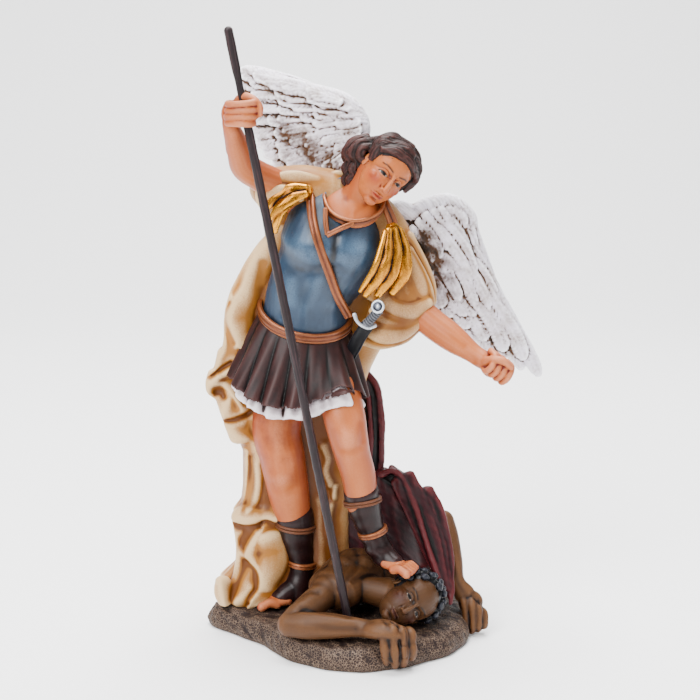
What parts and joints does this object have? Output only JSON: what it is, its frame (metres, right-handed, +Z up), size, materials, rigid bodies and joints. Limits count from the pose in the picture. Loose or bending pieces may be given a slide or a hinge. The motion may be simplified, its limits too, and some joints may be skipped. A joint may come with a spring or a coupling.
{
  "type": "archangel statue",
  "caption": "Painted cast statue of a winged archangel in a cuirass and long cloak, lance in the raised hand, one foot on a fallen demon, on a low rock",
  "frame": {"origin": "centre of the rock's flat underside, below the middle of the standing figure", "axes": "+Z up, the face and chest look to -Y, +X is to the viewer's right, the side of the lowered arm"},
  "size_m": [0.1131, 0.0756, 0.2001],
  "materials": {
    "painted_resin": "satin hand paint with a dark wash",
    "wing_paint": "matt white with a brown wash in the recesses",
    "lance_paint": "satin near-black paint"
  },
  "bodies": {
    "root": {"figure": "painted_resin", "wing_right": "wing_paint", "wing_left": "wing_paint", "lance": "lance_paint"}
  },
  "joints": []
}
